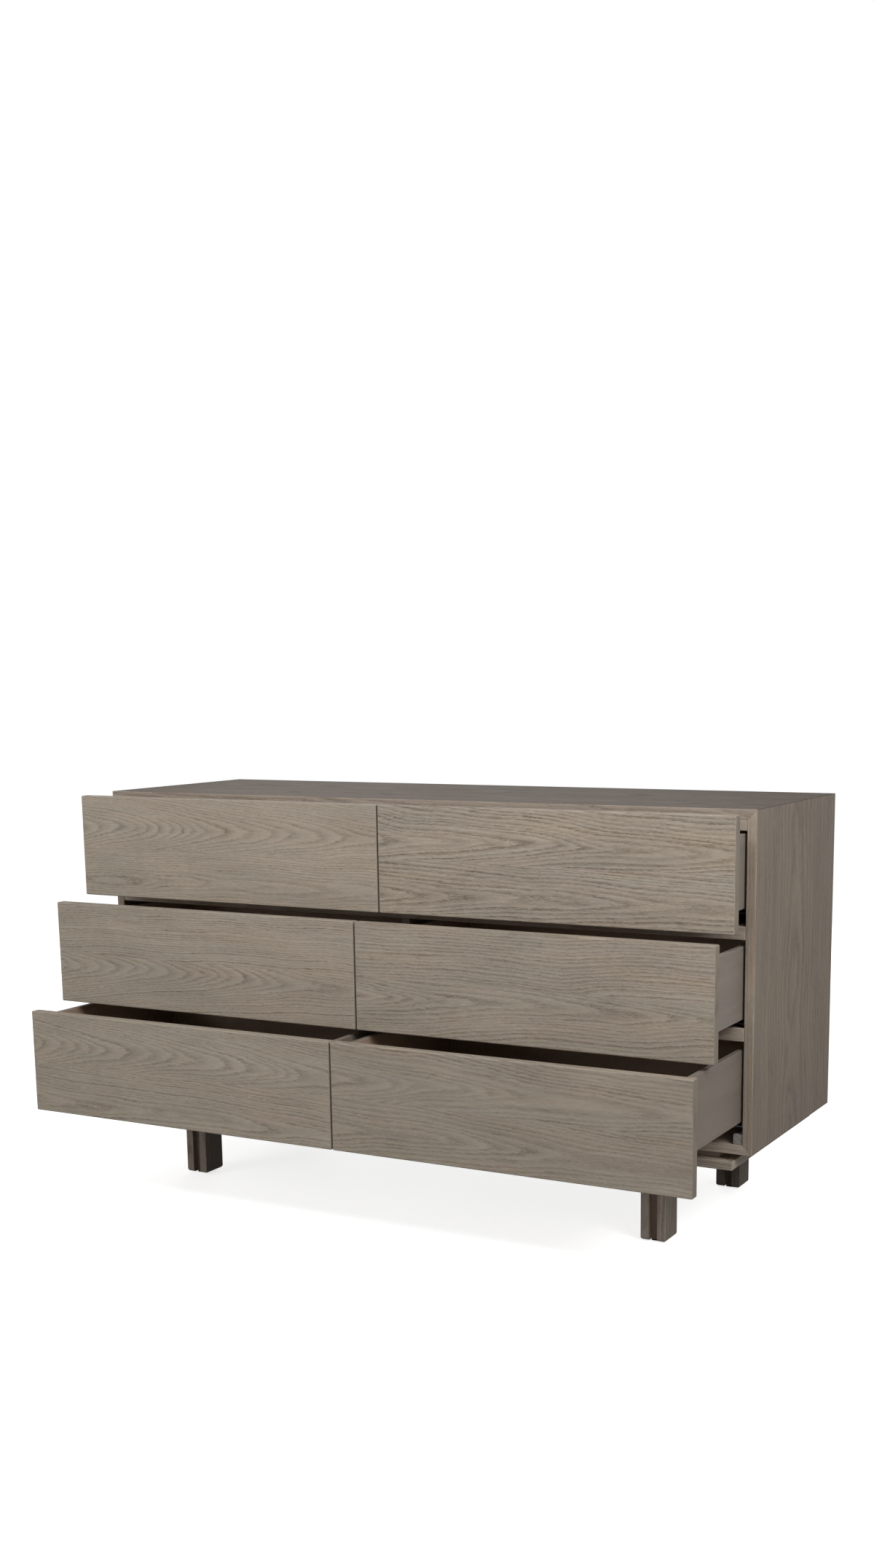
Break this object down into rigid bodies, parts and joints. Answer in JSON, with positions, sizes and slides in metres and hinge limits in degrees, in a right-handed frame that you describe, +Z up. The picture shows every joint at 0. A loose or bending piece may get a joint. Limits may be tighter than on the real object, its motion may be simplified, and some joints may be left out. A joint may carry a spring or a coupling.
{
  "type": "dresser",
  "caption": "Low wide wooden dresser with a mitred case, handle-free overlay drawers on metal slides, and a set-back frame on short grooved legs.",
  "frame": {"origin": "on the floor, under the middle of the box that bounds the dresser with its drawers as shown, partly open", "axes": "+Z up, +Y from the front to the back, +X to the right for someone facing the drawers"},
  "size_m": [1.524, 0.7774, 0.862],
  "materials": {
    "oak_front": "matt oil over oak veneer",
    "oak_case": "matt oil over oak",
    "oak_top": "matt oil over oak",
    "oak_leg": "matt oil over oak",
    "end_grain": "sawn end grain",
    "box_wood": "smooth matt lacquer",
    "plywood": "matt, dark",
    "steel": "dull zinc"
  },
  "bodies": {
    "case": {"top_panel": "oak_top", "side_panel_left": "oak_case", "side_panel_right": "oak_case", "bottom_panel": "oak_case", "back_panel": "oak_case", "centre_divider": "oak_case", "top_rail": "oak_case", "upper_rail": "oak_case", "lower_rail": "oak_case", "cleat_left": "end_grain", "cleat_right": "end_grain", "spacer_front": "oak_leg", "spacer_back": "oak_leg", "base_frame": "oak_leg", "leg_front_left": "oak_leg", "leg_front_right": "oak_leg", "leg_back_left": "oak_leg", "leg_back_right": "oak_leg", "top_left_drawer_rail_left": "steel", "top_left_drawer_rail_right": "steel", "top_right_drawer_rail_left": "steel", "top_right_drawer_rail_right": "steel", "middle_left_drawer_rail_left": "steel", "middle_left_drawer_rail_right": "steel", "middle_right_drawer_rail_left": "steel", "middle_right_drawer_rail_right": "steel", "bottom_left_drawer_rail_left": "steel", "bottom_left_drawer_rail_right": "steel", "bottom_right_drawer_rail_left": "steel", "bottom_right_drawer_rail_right": "steel"},
    "top_left_drawer": {"top_left_drawer_front": "oak_front", "top_left_drawer_side_left": "box_wood", "top_left_drawer_side_right": "box_wood", "top_left_drawer_back": "box_wood", "top_left_drawer_bottom": "plywood"},
    "top_right_drawer": {"top_right_drawer_front": "oak_front", "top_right_drawer_side_left": "box_wood", "top_right_drawer_side_right": "box_wood", "top_right_drawer_back": "box_wood", "top_right_drawer_bottom": "plywood"},
    "middle_left_drawer": {"middle_left_drawer_front": "oak_front", "middle_left_drawer_side_left": "box_wood", "middle_left_drawer_side_right": "box_wood", "middle_left_drawer_back": "box_wood", "middle_left_drawer_bottom": "plywood"},
    "middle_right_drawer": {"middle_right_drawer_front": "oak_front", "middle_right_drawer_side_left": "box_wood", "middle_right_drawer_side_right": "box_wood", "middle_right_drawer_back": "box_wood", "middle_right_drawer_bottom": "plywood"},
    "bottom_left_drawer": {"bottom_left_drawer_front": "oak_front", "bottom_left_drawer_side_left": "box_wood", "bottom_left_drawer_side_right": "box_wood", "bottom_left_drawer_back": "box_wood", "bottom_left_drawer_bottom": "plywood"},
    "bottom_right_drawer": {"bottom_right_drawer_front": "oak_front", "bottom_right_drawer_side_left": "box_wood", "bottom_right_drawer_side_right": "box_wood", "bottom_right_drawer_back": "box_wood", "bottom_right_drawer_bottom": "plywood"}
  },
  "joints": [
    {"name": "top_left_drawer_slide", "type": "slide", "parent": "case", "child": "top_left_drawer", "axis": [0, -1, 0], "range_m": [-0.083, 0.217]},
    {"name": "top_right_drawer_slide", "type": "slide", "parent": "case", "child": "top_right_drawer", "axis": [0, -1, 0], "range_m": [-0.083, 0.217]},
    {"name": "middle_left_drawer_slide", "type": "slide", "parent": "case", "child": "middle_left_drawer", "axis": [0, -1, 0], "range_m": [-0.178, 0.122]},
    {"name": "middle_right_drawer_slide", "type": "slide", "parent": "case", "child": "middle_right_drawer", "axis": [0, -1, 0], "range_m": [-0.178, 0.122]},
    {"name": "bottom_left_drawer_slide", "type": "slide", "parent": "case", "child": "bottom_left_drawer", "axis": [0, -1, 0], "range_m": [-0.276, 0.024]},
    {"name": "bottom_right_drawer_slide", "type": "slide", "parent": "case", "child": "bottom_right_drawer", "axis": [0, -1, 0], "range_m": [-0.276, 0.024]}
  ]
}
